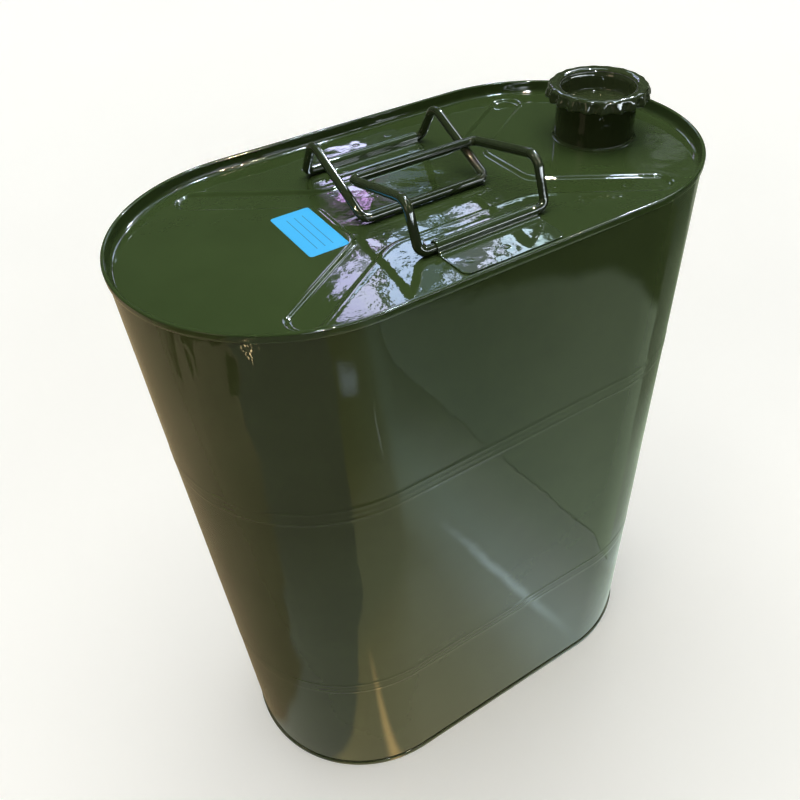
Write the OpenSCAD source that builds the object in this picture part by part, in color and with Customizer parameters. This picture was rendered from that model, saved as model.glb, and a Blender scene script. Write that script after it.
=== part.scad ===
// Thirty-litre steel oil can: flat-oval body, recessed ends in folded seams,
// screw cap on a welded neck, and two folding wire handles that close together.
// Millimetres, +Z up. Origin: centre of the can's footprint, on the floor.
// +X points to the filler neck, Y runs across the narrow depth.

/* [Can] */
// length over the seams, along X
can_l = 375; // [250:1:480]
// depth over the seams, along Y; both ends are full half circles
can_d = 201.5; // [140:0.5:260]
// height from the floor to the top seam
can_h = 458; // [300:1:600]
// steel sheet thickness of walls and ends
sheet_t = 0.7; // [0.5:0.05:1]

/* [Seams] */
// height of the folded seam band
seam_h = 4.5; // [3:0.1:8]
// gap filled by the sealing compound, outside and above the wall's edge
seal_t = 0.3; // [0.2:0.05:0.5]
// depth from the seam's top edge down to the top end panel
top_recess = 7.6; // [5:0.1:14]
// depth of the bottom end panel above the floor
bottom_recess = 7.6; // [5:0.1:14]

/* [Body beads] */
// height of the lower stiffening bead above the floor
bead_z1 = 131; // [60:1:200]
// height of the upper stiffening bead above the floor
bead_z2 = 327; // [220:1:420]
// width of each bead
bead_w = 16; // [8:0.5:24]
// how far a bead stands out of the wall
bead_out = 0.5; // [0.3:0.1:2]

/* [Pressed pattern in the top] */
// how deep the four-armed pattern is pressed in
press_depth = 1.4; // [0.8:0.1:2.5]
// half length of the middle field, along X
field_x = 60; // [40:1:80]
// half width of the middle field, along Y
field_y = 37.5; // [25:0.5:50]
// distance of an arm's end from the centre, along X
arm_x = 116.5; // [90:0.5:130]
// distance of an arm's end from the centre, along Y
arm_y = 73; // [50:0.5:80]
// width of an arm
arm_w = 19; // [10:0.5:26]

/* [Filler neck] */
// distance of the neck from the can's centre, along X
neck_x = 132; // [100:1:150]
// outside diameter of the neck tube
neck_od = 50.8; // [40:0.1:64]
// inside diameter of the neck tube
neck_id = 48.2; // [36:0.1:62]
// height of the neck's rim above the top panel
neck_h = 29; // [18:0.5:45]
// leg of the weld fillet round the neck
weld_leg = 2.4; // [1.5:0.1:4]

/* [Cap] */
// outside diameter of the cap's grip ring between the lobes
ring_d = 63; // [56:0.5:80]
// number of finger lobes round the ring
lobes = 20; // [12:1:28]
// radius of one lobe
lobe_r = 2.8; // [1.5:0.1:4]
// inside diameter of the cup sunk in the cap
cup_id = 45; // [30:0.5:58]
// outside diameter of the cup, a loose fit in the neck
cup_od = 47.4; // [32:0.1:61]
// height of the cup's floor above the top panel
cup_floor = 18.4; // [8:0.1:26]
// thread pitch: how far the cap rises in one turn
cap_pitch = 3; // [2:0.5:6]

/* [Handles] */
// wire diameter
wire_d = 5.5; // [4:0.1:8]
// distance of each hinge line from the can's middle plane
axle_y = 60.4; // [45:0.1:75]
// height of the hinge line above the top panel
axle_z = 3.05; // [2.5:0.05:6]
// half the distance between the legs, to the wire centres
leg_x = 42.4; // [30:0.1:60]
// short leg from hinge line to elbow
short_leg = 28.1; // [20:0.1:40]
// long leg from elbow to grip
long_leg = 60.6; // [45:0.1:80]
// angle inside the elbow
elbow = 98.3; // [80:0.1:130]
// rest angle of the near handle's short leg above the horizontal
near_rest = 69.7; // [55:0.1:100]
// rest angle of the far handle's short leg above the horizontal
far_rest = 57.5; // [50:0.1:100]
// bend radius at the feet and the grip, to the wire centre
bend_r = 5; // [4:0.1:10]
// bend radius at the elbow, to the wire centre
elbow_r = 8.5; // [6:0.1:14]
// how far the near handle has slid along its hinge line
near_slide = -0.8; // [-3:0.1:3]
// how far the far handle has slid along its hinge line
far_slide = -5; // [-6:0.1:2]

/* [Hinge clips] */
// clip width, along the hinge line
clip_w = 67; // [40:1:80]
// how far the far clip sits off the middle, along X
far_clip_shift = -1.5; // [-3:0.1:3]
// thickness of the clip's sheet
clip_t = 0.8; // [0.5:0.1:1.5]
// running gap between wire and clip
clip_gap = 0.3; // [0.3:0.05:0.6]
// distance of the clip's outer edge from the can's middle plane
clip_out = 89; // [75:0.5:94]
// distance of the clip's inner edge from the can's middle plane
clip_in = 46.5; // [40:0.5:54]
// diameter of one plug weld
plug_d = 5; // [3:0.5:8]

/* [Label] */
// label size along X
label_x = 24.5; // [15:0.5:40]
// label size along Y
label_y = 50.5; // [30:0.5:70]
// label centre along X
label_cx = -77; // [-110:0.5:-60]
// label thickness
label_t = 0.15; // [0.1:0.05:0.3]

/* [Hidden] */
$fn = 96;
zp = can_h - top_recess;             // top face of the top end panel
flat = can_l - can_d;                // straight part between the round ends
wall_u = -(sheet_t + seal_t);        // wall's outer face, measured from the can outline
sink_u = wall_u - sheet_t;           // outer face of the countersink wall
in_u = sink_u - sheet_t;             // inner face of the countersink wall
wr = wire_d / 2;
arch_r = wr + clip_gap;

GREEN = [0.24, 0.31, 0.17];
GREEN2 = [0.20, 0.27, 0.14];
RUBBER = [0.10, 0.10, 0.10];
COMPOUND = [0.75, 0.72, 0.60];
BLUE = [0.25, 0.68, 0.95];

// flat-oval outline, u outside (+) or inside (-) the can's seam outline
module oval(u = 0) {
    square([flat, can_d + 2 * u], center = true);
    for (s = [-1, 1]) translate([s * flat / 2, 0]) circle(d = can_d + 2 * u, $fn = 192);
}

// carries a profile (u, z) round the flat-oval outline
module round_the_can(pts) {
    p = [for (q = pts) [can_d / 2 + q[0], q[1]]];
    for (s = [0, 1]) mirror([s, 0, 0]) translate([flat / 2, 0, 0])
        rotate([0, 0, -90]) rotate_extrude(angle = 180, start = 0, $fn = 192) polygon(p);
    for (s = [0, 1]) mirror([0, s, 0])
        rotate([90, 0, 90]) linear_extrude(height = flat, center = true) polygon(p);
}

// ---- body: one wall sheet with two stiffening beads, open at both ends ----
module body_shell() color(GREEN) {
    o = wall_u;
    i = wall_u - sheet_t;
    z0 = sheet_t + seal_t;
    z1 = can_h - sheet_t - seal_t;
    b = bead_w / 2;
    c = bead_w / 2 - 3;
    outer = [[o, z0],
             [o, bead_z1 - b], [o + bead_out, bead_z1 - c], [o + bead_out, bead_z1 + c], [o, bead_z1 + b],
             [o, bead_z2 - b], [o + bead_out, bead_z2 - c], [o + bead_out, bead_z2 + c], [o, bead_z2 + b],
             [o, z1]];
    inner = [[i, z1],
             [i, bead_z2 + b], [i + bead_out, bead_z2 + c], [i + bead_out, bead_z2 - c], [i, bead_z2 - b],
             [i, bead_z1 + b], [i + bead_out, bead_z1 + c], [i + bead_out, bead_z1 - c], [i, bead_z1 - b],
             [i, z0]];
    round_the_can(concat(outer, inner));
}

// ---- seam channel of an end: skirt outside, bridge over the wall's edge, countersink wall inside ----
module end_channel(depth) {
    t = sheet_t;
    round_the_can([[0, -seam_h], [0, -0.6], [-0.6, 0], [in_u + 0.6, 0], [in_u, -0.6], [in_u, -depth - t],
                   [sink_u, -depth - t], [sink_u, -t], [-t, -t], [-t, -seam_h]]);
}

// four-armed pressed pattern, g wider (+) or narrower (-) on every side
module pattern(g = 0) {
    square([2 * (field_x + g), 2 * (field_y + g)], center = true);
    for (sx = [0, 1], sy = [0, 1]) mirror([sx, 0]) mirror([0, sy]) {
        a = atan2(arm_y - 30.5, arm_x - 54.7);
        translate([arm_x, arm_y]) {
            circle(d = arm_w + 2 * g);
            rotate(a) translate([-72, -arm_w / 2 - g]) square([72, arm_w + 2 * g]);
        }
    }
}

module top_panel() color(GREEN) {
    t = sheet_t;
    translate([0, 0, can_h]) end_channel(top_recess);
    difference() {
        union() {
            translate([0, 0, zp - t]) linear_extrude(height = t) oval(in_u + 0.35);
            translate([0, 0, zp - press_depth - t]) linear_extrude(height = press_depth + t) pattern(0);
        }
        translate([0, 0, zp - press_depth]) linear_extrude(height = press_depth + t) pattern(-t);
        translate([neck_x, 0, zp - 5]) cylinder(d = neck_od + 0.2, h = 10);
    }
}

module bottom_panel() color(GREEN2) {
    t = sheet_t;
    mirror([0, 0, 1]) end_channel(bottom_recess);
    translate([0, 0, bottom_recess]) linear_extrude(height = t) oval(in_u + 0.35);
}

// sealing compound between the wall's edge and the seam channel
module seam_compound() {
    t = sheet_t;
    round_the_can([[-t, -seam_h + 0.5], [-t, -t], [sink_u, -t], [sink_u, -t - seal_t],
                   [wall_u, -t - seal_t], [wall_u, -seam_h + 0.5]]);
}
module top_seam_compound() color(COMPOUND) translate([0, 0, can_h]) seam_compound();
module bottom_seam_compound() color(COMPOUND) mirror([0, 0, 1]) seam_compound();

// ---- filler neck, welded in the top panel ----
module filler_neck() color(GREEN) translate([neck_x, 0, zp]) rotate_extrude()
    polygon([[neck_id / 2, -1.6], [neck_od / 2, -1.6], [neck_od / 2, neck_h - 0.5], [neck_od / 2 - 0.4, neck_h],
             [neck_id / 2 + 0.3, neck_h], [neck_id / 2, neck_h - 0.4]]);

module neck_weld() color(GREEN2) translate([neck_x, 0, zp]) rotate_extrude()
    polygon([[neck_od / 2, 0], [neck_od / 2 + weld_leg, 0], [neck_od / 2 + weld_leg * 0.42, weld_leg * 0.36],
             [neck_od / 2, weld_leg]]);

// ---- cap: grip ring with finger lobes outside, sunk cup inside the neck ----
module cap() color(GREEN) translate([neck_x, 0, zp]) {
    web = neck_h + 1.5;          // underside of the web, on top of the gasket
    ci = cup_id / 2;
    co = cup_od / 2;
    rr = ring_d / 2;
    skirt = neck_od / 2 + 1.1;
    rotate_extrude() polygon([
        [0, cup_floor], [ci - 1.2, cup_floor], [ci - 0.35, cup_floor + 0.4], [ci, cup_floor + 1.3],
        [ci, web - 2.6], [ci + 0.5, web - 0.6], [ci + 1.4, web + 0.8], [ci + 2.6, web + 1.7],
        [ci + 4, web + 2], [rr - 3, web + 1.9], [rr - 1.4, web + 1.3], [rr - 0.4, web + 0.1],
        [rr, web - 1.4], [rr + 0.5, web - 5.2], [rr + 0.1, web - 6.2], [rr - 1, web - 6.7],
        [skirt, web - 6.7], [skirt, web], [co, web], [co, cup_floor - 0.4], [co - 0.8, cup_floor - 1.2], [0, cup_floor - 1.2]]);
    for (k = [0 : lobes - 1]) rotate((k + 0.5) * 360 / lobes)
        translate([rr - 0.9, 0, web - 6.3]) cylinder(r = lobe_r, h = 6.1, $fn = 32);
}

module cap_gasket() color(RUBBER) translate([neck_x, 0, zp + neck_h]) rotate_extrude()
    translate([cup_od / 2 + 0.1, 0.05]) square([neck_od / 2 + 0.7 - cup_od / 2, 1.45]);

// ---- wire handle: hinge line along X at the origin, short legs up, long legs to the grip ----
// bends are drawn 0.2 mm thinner than the straight wire, as drawn wire comes out of a bend
module rod(l) cylinder(d = wire_d, h = l, $fn = 48);
module bend(r, a) {
    over = 0.3 / r * 180 / PI;         // each end reaches 0.3 mm into the straight wire
    rotate([0, 0, -over]) rotate_extrude(angle = a + 2 * over, start = 0, $fn = 64)
        translate([r, 0]) circle(d = wire_d - 0.2, $fn = 48);
}

// one half of a handle but its grip, x >= 0, short leg pointing along +Y
module half_handle() {
    e = elbow_r / tan(elbow / 2);      // tangent length of the elbow
    turn = 180 - elbow;
    union() {
        // axle from the butt gap out to the foot bend: from +X to +Y
        translate([0.3, 0, 0]) rotate([0, 90, 0]) rod(leg_x - bend_r - 0.3);
        translate([leg_x - bend_r, bend_r, 0]) rotate([0, 0, -90]) bend(bend_r, 90);
    }
    union() {
        // short leg and elbow: from +Y towards +Z
        translate([leg_x, bend_r, 0]) rotate([-90, 0, 0]) rod(short_leg - bend_r - e);
        translate([leg_x, short_leg - e, elbow_r]) rotate([0, 90, 0]) bend(elbow_r, turn);
    }
    // long leg and grip bend
    translate([leg_x, short_leg, 0]) rotate([turn, 0, 0]) union() {
        translate([0, e, 0]) rotate([-90, 0, 0]) rod(long_leg - bend_r - e);
        translate([-bend_r, long_leg - bend_r, 0]) bend(bend_r, 90);
    }
}

// rest = angle of the short leg above the horizontal, leaning towards the middle
module handle(rest, slide) translate([slide, -axle_y, zp + axle_z]) rotate([rest, 0, 0])
    mirror([0, 0, 1]) {
        half_handle();
        mirror([1, 0, 0]) half_handle();
        // grip
        translate([-leg_x + bend_r, short_leg, 0]) rotate([180 - elbow, 0, 0]) translate([0, long_leg, 0])
            rotate([0, 90, 0]) rod(2 * (leg_x - bend_r));
    }

module handle_near() color(GREEN) handle(near_rest, near_slide);
module handle_far() color(GREEN) rotate([0, 0, 180]) handle(far_rest, -far_slide);

// ---- hinge clip: saddle over the axle, a narrow inner foot and a wide outer foot ----
module plug_spots() {
    for (x = [-24, 0, 24]) translate([x, -(clip_out - 10)]) children();
    for (x = [-24, 24]) translate([x, -(clip_in + 4.6)]) children();
}

module clip() translate([0, 0, zp]) {
    w = clip_w;
    o = arch_r + clip_t;
    r = 5;
    difference() {
        union() {
            translate([-w / 2, 0, 0]) rotate([90, 0, 90]) linear_extrude(height = w)
                translate([-axle_y, 0]) difference() {
                    union() {
                        translate([0, axle_z]) circle(r = o, $fn = 64);
                        translate([-o, 0]) square([2 * o, axle_z]);
                    }
                    translate([0, axle_z]) circle(r = arch_r, $fn = 64);
                    translate([-arch_r, -1]) square([2 * arch_r, axle_z + 1]);
                    translate([-10, -10]) square([20, 10]);
                }
            // inner foot
            translate([-w / 2 + 1, -axle_y + arch_r + clip_t / 2, 0])
                cube([w - 2, axle_y - clip_in - arch_r - clip_t / 2, clip_t]);
            // outer foot with rounded corners
            linear_extrude(height = clip_t) {
                translate([-w / 2, -clip_out + r]) square([w, clip_out - axle_y - arch_r - clip_t / 2 - r]);
                translate([-w / 2 + r, -clip_out]) square([w - 2 * r, r + 1]);
                for (s = [-1, 1]) translate([s * (w / 2 - r), -clip_out + r]) circle(r = r, $fn = 48);
            }
        }
        plug_spots() translate([0, 0, -1]) cylinder(d = plug_d, h = 4, $fn = 32);
    }
}
module clip_near() color(GREEN) clip();
module clip_far() color(GREEN) translate([far_clip_shift, 0, 0]) mirror([0, 1, 0]) clip();

// plug welds that fill the holes in the clip's feet
module clip_welds() translate([0, 0, zp]) plug_spots() {
    cylinder(d = plug_d, h = clip_t, $fn = 32);
    translate([0, 0, clip_t]) cylinder(d1 = plug_d, d2 = plug_d - 2.4, h = 0.35, $fn = 32);
}
module clip_near_welds() color(GREEN2) clip_welds();
module clip_far_welds() color(GREEN2) translate([far_clip_shift, 0, 0]) mirror([0, 1, 0]) clip_welds();

// ---- paper label beside the pressed pattern ----
module label() color(BLUE) translate([label_cx, 0, zp]) linear_extrude(height = label_t) {
    r = 2;
    square([label_x, label_y - 2 * r], center = true);
    square([label_x - 2 * r, label_y], center = true);
    for (sx = [-1, 1], sy = [-1, 1]) translate([sx * (label_x / 2 - r), sy * (label_y / 2 - r)]) circle(r = r, $fn = 32);
}

body_shell();
top_panel();
bottom_panel();
top_seam_compound();
bottom_seam_compound();
filler_neck();
neck_weld();
cap();
cap_gasket();
handle_near();
handle_far();
clip_near();
clip_far();
clip_near_welds();
clip_far_welds();
label();
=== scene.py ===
import math

import bpy
import numpy as np
from mathutils import Matrix, Vector, noise


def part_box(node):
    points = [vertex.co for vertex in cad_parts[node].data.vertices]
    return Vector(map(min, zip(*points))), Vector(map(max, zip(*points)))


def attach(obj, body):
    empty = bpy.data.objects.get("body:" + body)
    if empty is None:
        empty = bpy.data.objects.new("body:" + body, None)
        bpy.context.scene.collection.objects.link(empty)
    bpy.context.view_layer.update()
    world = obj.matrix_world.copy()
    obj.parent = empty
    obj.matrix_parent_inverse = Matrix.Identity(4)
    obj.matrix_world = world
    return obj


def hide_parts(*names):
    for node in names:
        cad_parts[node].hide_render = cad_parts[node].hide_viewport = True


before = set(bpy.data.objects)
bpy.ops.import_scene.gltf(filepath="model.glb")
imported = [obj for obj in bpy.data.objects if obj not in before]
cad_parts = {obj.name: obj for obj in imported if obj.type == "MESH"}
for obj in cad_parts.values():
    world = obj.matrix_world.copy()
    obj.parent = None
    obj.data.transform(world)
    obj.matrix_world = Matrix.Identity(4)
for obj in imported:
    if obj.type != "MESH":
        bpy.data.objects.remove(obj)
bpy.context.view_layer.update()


# ------------------------------------------------------------------ sizes, in metres, from the CAD
MM = 0.001
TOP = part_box("top_panel")
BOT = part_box("bottom_panel")
LEN = TOP[1].x - TOP[0].x                  # over the seams
DEP = TOP[1].y - TOP[0].y
RIM_Z = TOP[1].z
HALF = (LEN - DEP) / 2                     # half of the straight part
RAD = DEP / 2
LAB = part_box("label")
ZP = LAB[0].z                              # top face of the top panel
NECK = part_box("filler_neck")
NX = (NECK[0].x + NECK[1].x) / 2
NECK_R = (NECK[1].x - NECK[0].x) / 2
NECK_TOP = NECK[1].z
NECK_BORE = 24.1 * MM
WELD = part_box("neck_weld")
T = 0.7 * MM                               # sheet
WALL_U = -1.0 * MM
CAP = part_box("cap")
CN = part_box("clip_near")
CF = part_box("clip_far")
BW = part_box("clip_near_welds")

rng = np.random.default_rng(7)


# ------------------------------------------------------------------ mesh helpers
def make_object(name, verts, faces, smooth=True):
    me = bpy.data.meshes.new(name)
    me.from_pydata([tuple(map(float, v)) for v in verts], [], [tuple(map(int, f)) for f in faces])
    me.validate()
    me.update()
    if smooth:
        me.polygons.foreach_set("use_smooth", [True] * len(me.polygons))
    ob = bpy.data.objects.new(name, me)
    bpy.context.scene.collection.objects.link(ob)
    return ob


def add_float(ob, name, values):
    a = ob.data.attributes.new(name, "FLOAT", "POINT")
    a.data.foreach_set("value", np.asarray(values, np.float32))


def ease(x):
    x = np.clip(x, 0, 1)
    return x * x * (3 - 2 * x)


def wobble(x, y, z, scale, seed):
    """Smooth noise, about -1 to 1, at points in metres; scale is the size of one swell in metres."""
    out = np.empty(len(x))
    for i in range(len(x)):
        out[i] = noise.noise((x[i] / scale + seed * 17.31, y[i] / scale - seed * 5.7, z[i] / scale + seed * 3.3))
    return out


def oval_samples(n_arc, n_flat):
    """Base points and outward directions round the flat oval, counterclockwise from (HALF, -RAD)."""
    base, out = [], []
    for k in range(n_arc):
        a = -math.pi / 2 + math.pi * k / n_arc
        base.append((HALF, 0.0)), out.append((math.cos(a), math.sin(a)))
    for k in range(n_flat):
        base.append((HALF - 2 * HALF * k / n_flat, 0.0)), out.append((0.0, 1.0))
    for k in range(n_arc):
        a = math.pi / 2 + math.pi * k / n_arc
        base.append((-HALF, 0.0)), out.append((math.cos(a), math.sin(a)))
    for k in range(n_flat):
        base.append((-HALF + 2 * HALF * k / n_flat, 0.0)), out.append((0.0, -1.0))
    return np.array(base), np.array(out)


def arc(cx, cz, r, a0, a1, n):
    return [(cx + r * math.cos(math.radians(a0 + (a1 - a0) * k / n)),
             cz + r * math.sin(math.radians(a0 + (a1 - a0) * k / n))) for k in range(n + 1)]


def grid_faces(rows, cols, close_cols=True, start=0, flip=False):
    """Quads of a rows x cols lattice whose columns close on themselves."""
    f = []
    last = cols if close_cols else cols - 1
    for r in range(rows - 1):
        for c in range(last):
            a = start + r * cols + c
            b = start + r * cols + (c + 1) % cols
            d, e = a + cols, b + cols
            f.append((a, d, e, b) if flip else (a, b, e, d))
    return f


def sweep(name, path, radius, segments=24, closed=False):
    """Round wire along a path of points, in metres, with rounded ends."""
    p = np.array(path, float)
    n = len(p)
    tang = np.zeros_like(p)
    tang[1:-1] = p[2:] - p[:-2]
    tang[0], tang[-1] = p[1] - p[0], p[-1] - p[-2]
    tang /= np.linalg.norm(tang, axis=1)[:, None]
    ref = np.array([0.0, 0.0, 1.0]) if abs(tang[0][2]) < 0.9 else np.array([0.0, 1.0, 0.0])
    u = np.cross(tang[0], ref); u /= np.linalg.norm(u)
    verts, rings = [], []
    for i in range(n):
        if i:
            u = u - tang[i] * np.dot(u, tang[i]); u /= np.linalg.norm(u)
        v = np.cross(tang[i], u)
        rings.append((p[i], tang[i], u.copy(), v))
    # small chamfer at both ends
    seq = []
    c0, t0, u0, v0 = rings[0]
    seq.append((c0, u0, v0, radius * 0.8))
    seq.append((c0 + t0 * radius * 0.12, u0, v0, radius))
    for c, t, uu, vv in rings[1:-1]:
        seq.append((c, uu, vv, radius))
    c1, t1, u1, v1 = rings[-1]
    seq.append((c1 - t1 * radius * 0.12, u1, v1, radius))
    seq.append((c1, u1, v1, radius * 0.8))
    for c, uu, vv, r in seq:
        for k in range(segments):
            a = 2 * math.pi * k / segments
            verts.append(c + r * (math.cos(a) * uu + math.sin(a) * vv))
    faces = grid_faces(len(seq), segments)
    a = len(verts); verts.append(seq[0][0]); b = len(verts); verts.append(seq[-1][0])
    for k in range(segments):
        faces.append((a, (k + 1) % segments, k))
        o = (len(seq) - 1) * segments
        faces.append((b, o + k, o + (k + 1) % segments))
    return make_object(name, verts, faces)


def rounded(points, radii, step=4):
    """Polyline whose inner corners are rounded with these radii."""
    P = [np.array(p, float) for p in points]
    out = [P[0]]
    for i in range(1, len(P) - 1):
        a, b = P[i - 1] - P[i], P[i + 1] - P[i]
        la, lb = np.linalg.norm(a), np.linalg.norm(b)
        a, b = a / la, b / lb
        ang = math.acos(float(np.clip(np.dot(a, b), -1, 1)))
        r = radii[i - 1]
        t = r / math.tan(ang / 2)
        c = P[i] + (a + b) / np.linalg.norm(a + b) * r / math.sin(ang / 2)
        s, e = P[i] + a * t - c, P[i] + b * t - c
        sweep_a = math.pi - ang
        n = max(3, int(math.degrees(sweep_a) / step))
        for k in range(n + 1):
            w = k / n
            out.append(c + (math.sin((1 - w) * sweep_a) * s + math.sin(w * sweep_a) * e) / math.sin(sweep_a))
    out.append(P[-1])
    full = [out[0]]
    for q in out[1:]:
        gap = np.linalg.norm(q - full[-1])
        m = max(1, int(gap / 0.004))
        for k in range(1, m + 1):
            full.append(full[-1] + (q - full[-1]) * (1.0 / (m - k + 1)))
    return full


def lathe(name, prof, n, cx, cy, z0, shape=None, close=True):
    """Turns a closed profile (r, z) in metres round a vertical axis. shape(r, z, angle) may move the points."""
    prof = np.array(prof, float)
    m = len(prof)
    ang = np.arange(n) * 2 * math.pi / n
    R = np.repeat(prof[:, 0], n); Z = np.repeat(prof[:, 1], n); A = np.tile(ang, m)
    if shape is not None:
        R, Z = shape(R, Z, A)
    verts = np.stack([cx + R * np.cos(A), cy + R * np.sin(A), z0 + Z], 1)
    faces = grid_faces(m, n)
    if close:
        o = (m - 1) * n
        for c in range(n):
            d = (c + 1) % n
            faces.append((o + c, o + d, d, c))
    return make_object(name, verts, faces), R, Z, A


# ------------------------------------------------------------------ materials
def new_material(name):
    m = bpy.data.materials.new(name)
    m.use_nodes = True
    nt = m.node_tree
    bsdf = nt.nodes["Principled BSDF"]
    return m, nt, bsdf


def node(nt, kind, **inputs):
    n = nt.nodes.new(kind)
    for k, v in inputs.items():
        n.inputs[k.replace("_", " ")].default_value = v
    return n


def noise_tex(nt, vec, scale, detail=2.0, rough=0.5):
    n = nt.nodes.new("ShaderNodeTexNoise")
    n.inputs["Scale"].default_value = scale
    n.inputs["Detail"].default_value = detail
    n.inputs["Roughness"].default_value = rough
    nt.links.new(vec, n.inputs["Vector"])
    return n.outputs["Fac"]


def ramp(nt, fac, stops):
    r = nt.nodes.new("ShaderNodeValToRGB")
    e = r.color_ramp.elements
    while len(e) < len(stops):
        e.new(0.5)
    for i, (p, c) in enumerate(stops):
        e[i].position = p
        e[i].color = (*c, 1) if len(c) == 3 else c
    nt.links.new(fac, r.inputs["Fac"])
    return r.outputs["Color"]


def mix_color(nt, fac, a, b, mode="MIX"):
    n = nt.nodes.new("ShaderNodeMix")
    n.data_type = "RGBA"
    n.blend_type = mode
    for sock, v in ((n.inputs[0], fac), (n.inputs[6], a), (n.inputs[7], b)):
        if hasattr(v, "links"):
            nt.links.new(v, sock)
        elif isinstance(v, (tuple, list)):
            sock.default_value = (*v, 1) if len(v) == 3 else v
        else:
            sock.default_value = v
    return n.outputs[2]


def math_node(nt, op, a, b=0.0, c=0.0):
    n = nt.nodes.new("ShaderNodeMath")
    n.operation = op
    for i, v in enumerate((a, b, c)):
        if hasattr(v, "links"):
            nt.links.new(v, n.inputs[i])
        else:
            n.inputs[i].default_value = v
    return n.outputs[0]


def enamel(name, light=(0.042, 0.066, 0.021), dark=(0.033, 0.053, 0.016), peel=1.0, swell=1.0, specks=0.5, mottle=1.0, coat_ior=1.52):
    """Glossy olive paint: orange peel, slow colour change, dust nibs, and a clear hard gloss."""
    m, nt, b = new_material(name)
    co = nt.nodes.new("ShaderNodeTexCoord").outputs["Object"]
    slow = noise_tex(nt, co, 14.0, 3.0, 0.55)
    col = ramp(nt, slow, [(0.30, dark), (0.70, light)])
    fine = noise_tex(nt, co, 900.0, 2.0, 0.6)
    col = mix_color(nt, math_node(nt, "MULTIPLY", fine, 0.10), col, (0.07, 0.095, 0.04))
    # dust nibs under the paint and a few pale specks
    vor = nt.nodes.new("ShaderNodeTexVoronoi")
    vor.inputs["Scale"].default_value = 95.0
    vor.inputs["Randomness"].default_value = 1.0
    nt.links.new(co, vor.inputs["Vector"])
    nib = ramp(nt, vor.outputs["Distance"], [(0.0, (1, 1, 1)), (0.035, (0, 0, 0))])
    gate = ramp(nt, noise_tex(nt, co, 63.0, 1.0), [(0.60, (0, 0, 0)), (0.66, (1, 1, 1))])
    nib = math_node(nt, "MULTIPLY", nib, gate)
    col = mix_color(nt, math_node(nt, "MULTIPLY", nib, specks), col, (0.17, 0.20, 0.12))
    nt.links.new(col, b.inputs["Base Color"])
    rough = ramp(nt, noise_tex(nt, co, 40.0, 4.0, 0.6), [(0.3, (0.26,) * 3), (0.75, (0.40,) * 3)])
    nt.links.new(rough, b.inputs["Roughness"])
    b.inputs["Metallic"].default_value = 0.0
    b.inputs["IOR"].default_value = 1.5
    b.inputs["Specular IOR Level"].default_value = 0.0
    b.inputs["Coat Weight"].default_value = 1.0
    b.inputs["Coat Roughness"].default_value = 0.02
    b.inputs["Coat IOR"].default_value = coat_ior
    peel_h = noise_tex(nt, co, 430.0, 1.5, 0.5)
    swell_h = noise_tex(nt, co, 30.0, 2.0, 0.5)
    b1 = nt.nodes.new("ShaderNodeBump")
    b1.inputs["Strength"].default_value = 1.0
    b1.inputs["Distance"].default_value = 0.000028 * peel
    nt.links.new(peel_h, b1.inputs["Height"])
    b2 = nt.nodes.new("ShaderNodeBump")
    b2.inputs["Strength"].default_value = 1.0
    b2.inputs["Distance"].default_value = 0.0005 * swell
    nt.links.new(swell_h, b2.inputs["Height"])
    nt.links.new(b1.outputs["Normal"], b2.inputs["Normal"])
    b4 = nt.nodes.new("ShaderNodeBump")
    b4.inputs["Strength"].default_value = 1.0
    b4.inputs["Distance"].default_value = 0.00016 * mottle
    nt.links.new(noise_tex(nt, co, 105.0, 1.0, 0.5), b4.inputs["Height"])
    nt.links.new(b2.outputs["Normal"], b4.inputs["Normal"])
    b3 = nt.nodes.new("ShaderNodeBump")
    b3.inputs["Strength"].default_value = 1.0
    b3.inputs["Distance"].default_value = 0.00005
    nt.links.new(nib, b3.inputs["Height"])
    nt.links.new(b4.outputs["Normal"], b3.inputs["Normal"])
    nt.links.new(b3.outputs["Normal"], b.inputs["Normal"])
    nt.links.new(b3.outputs["Normal"], b.inputs["Coat Normal"])
    return m


def rubber(name, colour, scale=400.0):
    m, nt, b = new_material(name)
    co = nt.nodes.new("ShaderNodeTexCoord").outputs["Object"]
    n = noise_tex(nt, co, scale, 3.0, 0.6)
    c2 = tuple(min(1, c * 1.5 + 0.01) for c in colour)
    nt.links.new(ramp(nt, n, [(0.3, colour), (0.75, c2)]), b.inputs["Base Color"])
    nt.links.new(ramp(nt, n, [(0.2, (0.55,) * 3), (0.8, (0.8,) * 3)]), b.inputs["Roughness"])
    bp = nt.nodes.new("ShaderNodeBump")
    bp.inputs["Distance"].default_value = 0.0001
    nt.links.new(n, bp.inputs["Height"])
    nt.links.new(bp.outputs["Normal"], b.inputs["Normal"])
    return m


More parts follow.
